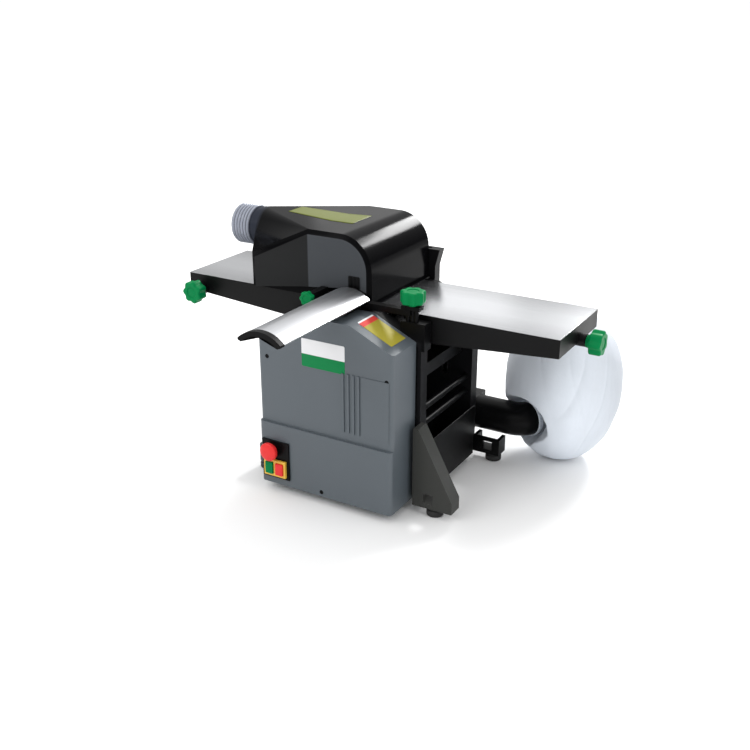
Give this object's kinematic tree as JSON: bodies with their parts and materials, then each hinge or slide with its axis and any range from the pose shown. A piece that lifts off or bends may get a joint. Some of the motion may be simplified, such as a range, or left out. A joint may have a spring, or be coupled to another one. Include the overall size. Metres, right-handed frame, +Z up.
{
  "type": "combination planer thicknesser",
  "caption": "Bench planer thicknesser with silver tables, grey housing, black chip hood, bridge guard, green star knobs, suction pipe and white chip bag.",
  "frame": {"origin": "on the floor, at the centre of the four bench bolt holes in the feet", "axes": "+X to the right along the tables, in the feed direction of the thicknesser; +Y from the operator's side to the back; +Z up"},
  "size_m": [0.9203, 0.808, 0.5616],
  "materials": {
    "grey_paint": "satin",
    "leg_paint": "satin",
    "dark_paint": "satin",
    "black_paint": "satin",
    "hood_black": "gloss",
    "black_plastic": "matte",
    "table_metal": "brushed",
    "bright_steel": "satin",
    "guard_aluminium": "brushed",
    "green_plastic": "gloss",
    "red_plastic": "gloss",
    "yellow_plastic": "gloss",
    "gear_plastic": "matte",
    "rubber": "matte",
    "clear_plastic": "clear",
    "bag_fabric": "matte",
    "bush_brass": "satin"
  },
  "bodies": {
    "frame": {"base_case": "black_paint", "front_wall": "dark_paint", "rear_wall": "dark_paint", "wall_ties": "black_paint", "front_legs": "leg_paint", "rear_legs": "black_paint", "rubber_feet": "rubber", "front_housing": "grey_paint", "housing_screws": "black_paint", "rear_cover": "dark_paint", "switch_plate": "black_plastic", "switch_pad": "yellow_plastic", "cable_gland": "black_plastic", "outfeed_table": "table_metal", "cutter_bearings": "bright_steel", "gear_studs": "bright_steel", "feed_chain": "black_paint", "drive_belt": "rubber", "roller_bushes": "bush_brass", "pawl_rod": "bright_steel", "motor": "black_paint", "fan_case": "black_plastic", "outlet_pipe": "black_plastic", "bag_clamp": "bright_steel", "chip_bag": "bag_fabric", "lift_chain": "black_paint", "post_foot": "black_paint", "fence_bracket": "dark_paint"},
    "cutter": {"cutter_block": "bright_steel", "cutter_knives": "bright_steel", "knife_wedges": "bright_steel", "cutter_pulley": "bright_steel", "cutter_pinion": "bright_steel"},
    "rotor": {"motor_shaft": "bright_steel", "fan_wheel": "black_plastic"},
    "gear_1": {"first_gear": "gear_plastic"},
    "gear_2": {"second_gear": "gear_plastic"},
    "gear_3": {"third_gear": "gear_plastic"},
    "roller_in": {"infeed_roller": "bright_steel"},
    "roller_out": {"outfeed_roller": "rubber"},
    "pawls": {"kickback_pawls": "bright_steel"},
    "bed": {"bed_table": "table_metal"},
    "screw_1": {"lead_screw_1": "bright_steel"},
    "screw_2": {"lead_screw_2": "bright_steel"},
    "screw_3": {"lead_screw_3": "bright_steel"},
    "screw_4": {"lead_screw_4": "bright_steel"},
    "crank_arm": {"crank": "bright_steel"},
    "crank_handle": {"crank_grip": "black_plastic"},
    "infeed": {"infeed_table": "table_metal"},
    "depth_dial": {"depth_knob": "green_plastic"},
    "lock_dial": {"lock_knob": "green_plastic"},
    "guard_carrier": {"guard_arm": "black_paint"},
    "guard_dial": {"guard_height_knob": "green_plastic"},
    "clamp_dial": {"guard_clamp_knob": "green_plastic"},
    "guard": {"bridge_guard": "guard_aluminium"},
    "hood": {"chip_hood": "hood_black", "outlet_sleeve": "clear_plastic"},
    "stop_key": {"stop_button": "red_plastic"},
    "start_key": {"start_button": "green_plastic"},
    "off_key": {"off_button": "red_plastic"}
  },
  "joints": [
    {"name": "cutter_spin", "type": "hinge", "parent": "frame", "child": "cutter", "pos_m": [0, 0, 0.38], "axis": [0, 1, 0], "continuous": true},
    {"name": "rotor_spin", "type": "hinge", "parent": "frame", "child": "rotor", "pos_m": [0.05, 0, 0.082], "axis": [0, 1, 0], "continuous": true},
    {"name": "gear_1_spin", "type": "hinge", "parent": "frame", "child": "gear_1", "pos_m": [-0.02813, 0, 0.33129], "axis": [0, 1, 0], "continuous": true},
    {"name": "gear_2_spin", "type": "hinge", "parent": "frame", "child": "gear_2", "pos_m": [0, 0, 0.28257], "axis": [0, 1, 0], "continuous": true},
    {"name": "gear_3_spin", "type": "hinge", "parent": "frame", "child": "gear_3", "pos_m": [-0.02813, 0, 0.23386], "axis": [0, 1, 0], "continuous": true},
    {"name": "roller_in_spin", "type": "hinge", "parent": "frame", "child": "roller_in", "pos_m": [-0.062, 0, 0.3652], "axis": [0, 1, 0], "continuous": true},
    {"name": "roller_out_spin", "type": "hinge", "parent": "frame", "child": "roller_out", "pos_m": [0.062, 0, 0.3652], "axis": [0, 1, 0], "continuous": true},
    {"name": "pawl_swing", "type": "hinge", "parent": "frame", "child": "pawls", "pos_m": [-0.104, 0, 0.372], "axis": [0, 1, 0], "range_deg": [-45, 0]},
    {"name": "bed_lift", "type": "slide", "parent": "frame", "child": "bed", "axis": [0, 0, 1], "range_m": [-0.055, 0.05]},
    {"name": "screw_1_turn", "type": "hinge", "parent": "frame", "child": "screw_1", "pos_m": [0.1, -0.1245, 0], "axis": [0, 0, 1], "range_deg": [-4960, 4510]},
    {"name": "screw_2_turn", "type": "hinge", "parent": "frame", "child": "screw_2", "pos_m": [-0.1, -0.1245, 0], "axis": [0, 0, 1], "range_deg": [-4960, 4510]},
    {"name": "screw_3_turn", "type": "hinge", "parent": "frame", "child": "screw_3", "pos_m": [0.1, 0.1245, 0], "axis": [0, 0, 1], "range_deg": [-4960, 4510]},
    {"name": "screw_4_turn", "type": "hinge", "parent": "frame", "child": "screw_4", "pos_m": [-0.1, 0.1245, 0], "axis": [0, 0, 1], "range_deg": [-4960, 4510]},
    {"name": "crank_turn", "type": "hinge", "parent": "frame", "child": "crank_arm", "pos_m": [-0.0835, 0, 0.112], "axis": [0, 1, 0], "range_deg": [-4960, 4510]},
    {"name": "crank_grip_spin", "type": "hinge", "parent": "crank_arm", "child": "crank_handle", "pos_m": [-0.0835, 0, 0.066], "axis": [0, 1, 0], "continuous": true},
    {"name": "infeed_drop", "type": "slide", "parent": "frame", "child": "infeed", "axis": [0, 0, 1], "range_m": [-0.003, 0]},
    {"name": "depth_turn", "type": "hinge", "parent": "infeed", "child": "depth_dial", "pos_m": [0.45, 0.005, 0.377], "axis": [1, 0, 0], "range_deg": [-730, 0]},
    {"name": "lock_turn", "type": "hinge", "parent": "frame", "child": "lock_dial", "pos_m": [-0.402, -0.112, 0.377], "axis": [0, -1, 0], "range_deg": [0, 360]},
    {"name": "guard_lift", "type": "slide", "parent": "frame", "child": "guard_carrier", "axis": [0, 0, 1], "range_m": [0, 0.06]},
    {"name": "guard_dial_turn", "type": "hinge", "parent": "guard_carrier", "child": "guard_dial", "pos_m": [0.14, -0.126, 0.433], "axis": [0, 0, 1], "range_deg": [0, 5410]},
    {"name": "clamp_turn", "type": "hinge", "parent": "guard_carrier", "child": "clamp_dial", "pos_m": [-0.066, -0.176, 0.43], "axis": [0, -1, 0], "range_deg": [0, 270]},
    {"name": "guard_slide", "type": "slide", "parent": "guard_carrier", "child": "guard", "axis": [0, -1, 0], "range_m": [0, 0.05]},
    {"name": "hood_lift", "type": "slide", "parent": "frame", "child": "hood", "axis": [0, 0, 1], "range_m": [0, 0.15]},
    {"name": "stop_press", "type": "slide", "parent": "frame", "child": "stop_key", "axis": [0, 1, 0], "range_m": [0, 0.004], "stiffness_N_per_m": 800},
    {"name": "start_press", "type": "slide", "parent": "frame", "child": "start_key", "axis": [0, 1, 0], "range_m": [0, 0.003], "stiffness_N_per_m": 800},
    {"name": "off_press", "type": "slide", "parent": "frame", "child": "off_key", "axis": [0, 1, 0], "range_m": [0, 0.003], "stiffness_N_per_m": 800}
  ],
  "couplings": [
    {"joint": "rotor_spin", "follows": "cutter_spin", "ratio": 2},
    {"joint": "gear_1_spin", "follows": "cutter_spin", "ratio": -0.25},
    {"joint": "gear_2_spin", "follows": "cutter_spin", "ratio": 0.0625},
    {"joint": "gear_3_spin", "follows": "cutter_spin", "ratio": -0.015625},
    {"joint": "roller_in_spin", "follows": "cutter_spin", "ratio": -0.009046},
    {"joint": "roller_out_spin", "follows": "cutter_spin", "ratio": -0.009046},
    {"joint": "crank_turn", "follows": "bed_lift", "rad_per_m": 1570.8},
    {"joint": "depth_turn", "follows": "infeed_drop", "rad_per_m": 4188.8},
    {"joint": "guard_dial_turn", "follows": "guard_lift", "rad_per_m": 1570.8},
    {"joint": "screw_1_turn", "follows": "bed_lift", "rad_per_m": 1570.8},
    {"joint": "screw_2_turn", "follows": "bed_lift", "rad_per_m": 1570.8},
    {"joint": "screw_3_turn", "follows": "bed_lift", "rad_per_m": 1570.8},
    {"joint": "screw_4_turn", "follows": "bed_lift", "rad_per_m": 1570.8}
  ]
}
